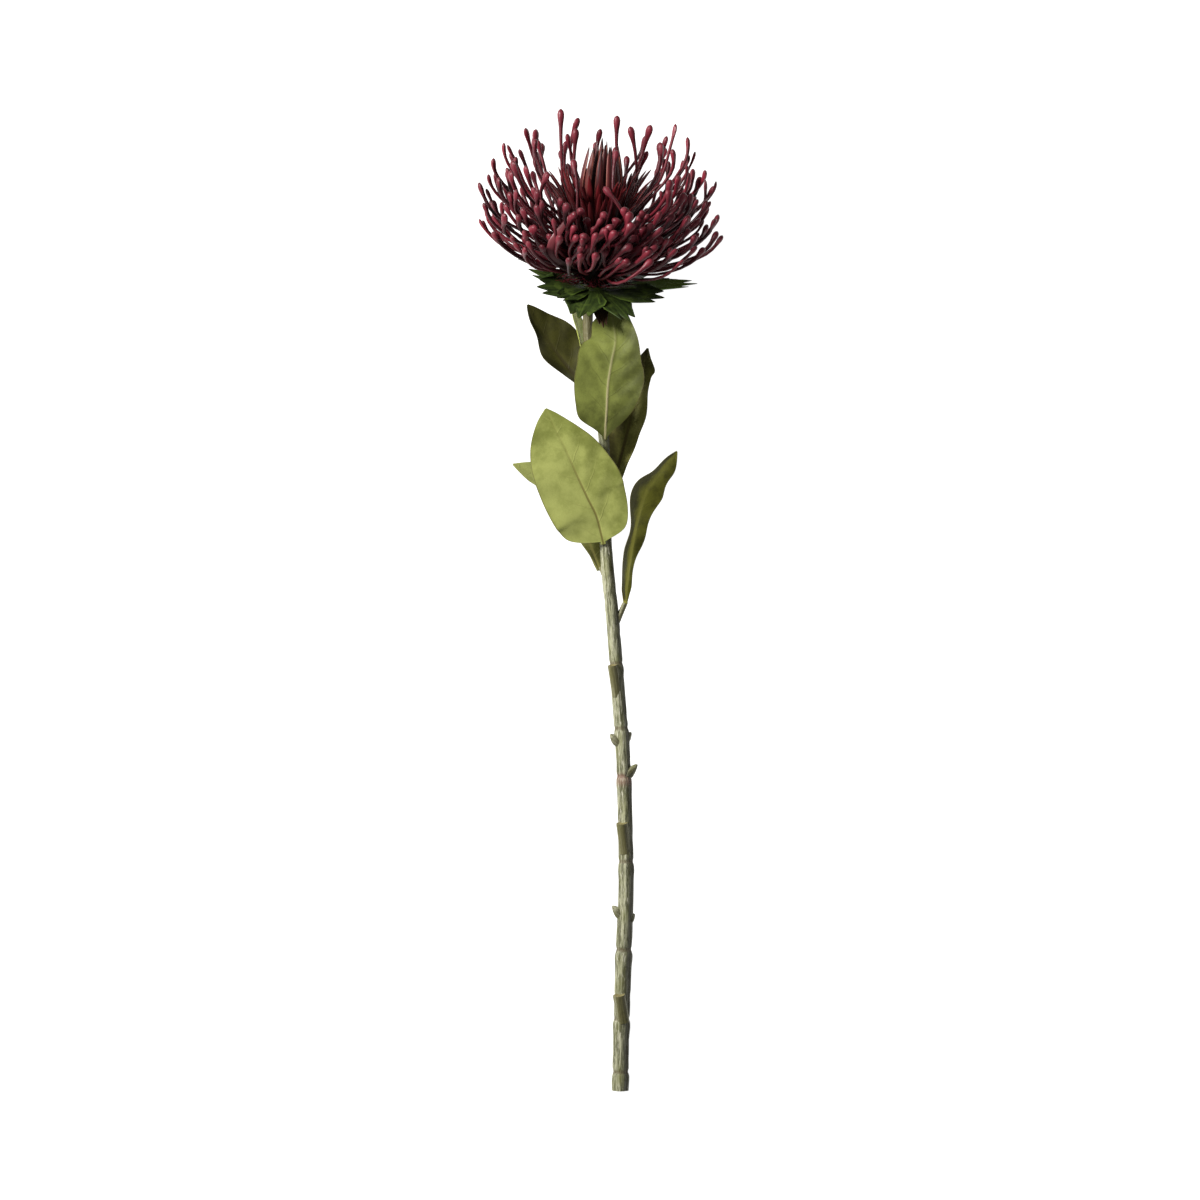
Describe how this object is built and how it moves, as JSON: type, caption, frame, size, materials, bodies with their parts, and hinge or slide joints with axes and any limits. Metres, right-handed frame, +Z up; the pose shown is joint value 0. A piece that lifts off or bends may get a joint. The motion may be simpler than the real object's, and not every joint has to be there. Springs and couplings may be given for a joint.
{
  "type": "cut protea flower",
  "caption": "Cut pincushion protea lying on its side: bowl-shaped head of clubbed pins over toothed bracts, woody stem with leathery leaves.",
  "frame": {"origin": "on the table, under the middle of the lying flower's box", "axes": "+Y along the stem towards the flower head, +X to the flower's right, +Z up from the table"},
  "size_m": [0.1437, 0.5657, 0.1178],
  "materials": {
    "stem_bark": "satin ridged green-grey bark",
    "leaf_pale": "matt leathery pale leaf face",
    "leaf_dark": "satin leathery dark leaf face",
    "bract_green": "satin dark green bract",
    "pin_burgundy": "waxy satin burgundy",
    "floret_russet": "satin russet"
  },
  "bodies": {
    "root": {"stem": "stem_bark", "leaf_1": "leaf_dark", "leaf_2": "leaf_pale", "leaf_3": "leaf_pale", "leaf_4": "leaf_pale", "leaf_5": "leaf_dark", "leaf_6": "leaf_pale", "leaf_7": "leaf_dark", "bracts": "bract_green", "styles": "pin_burgundy", "florets": "floret_russet"}
  },
  "joints": []
}
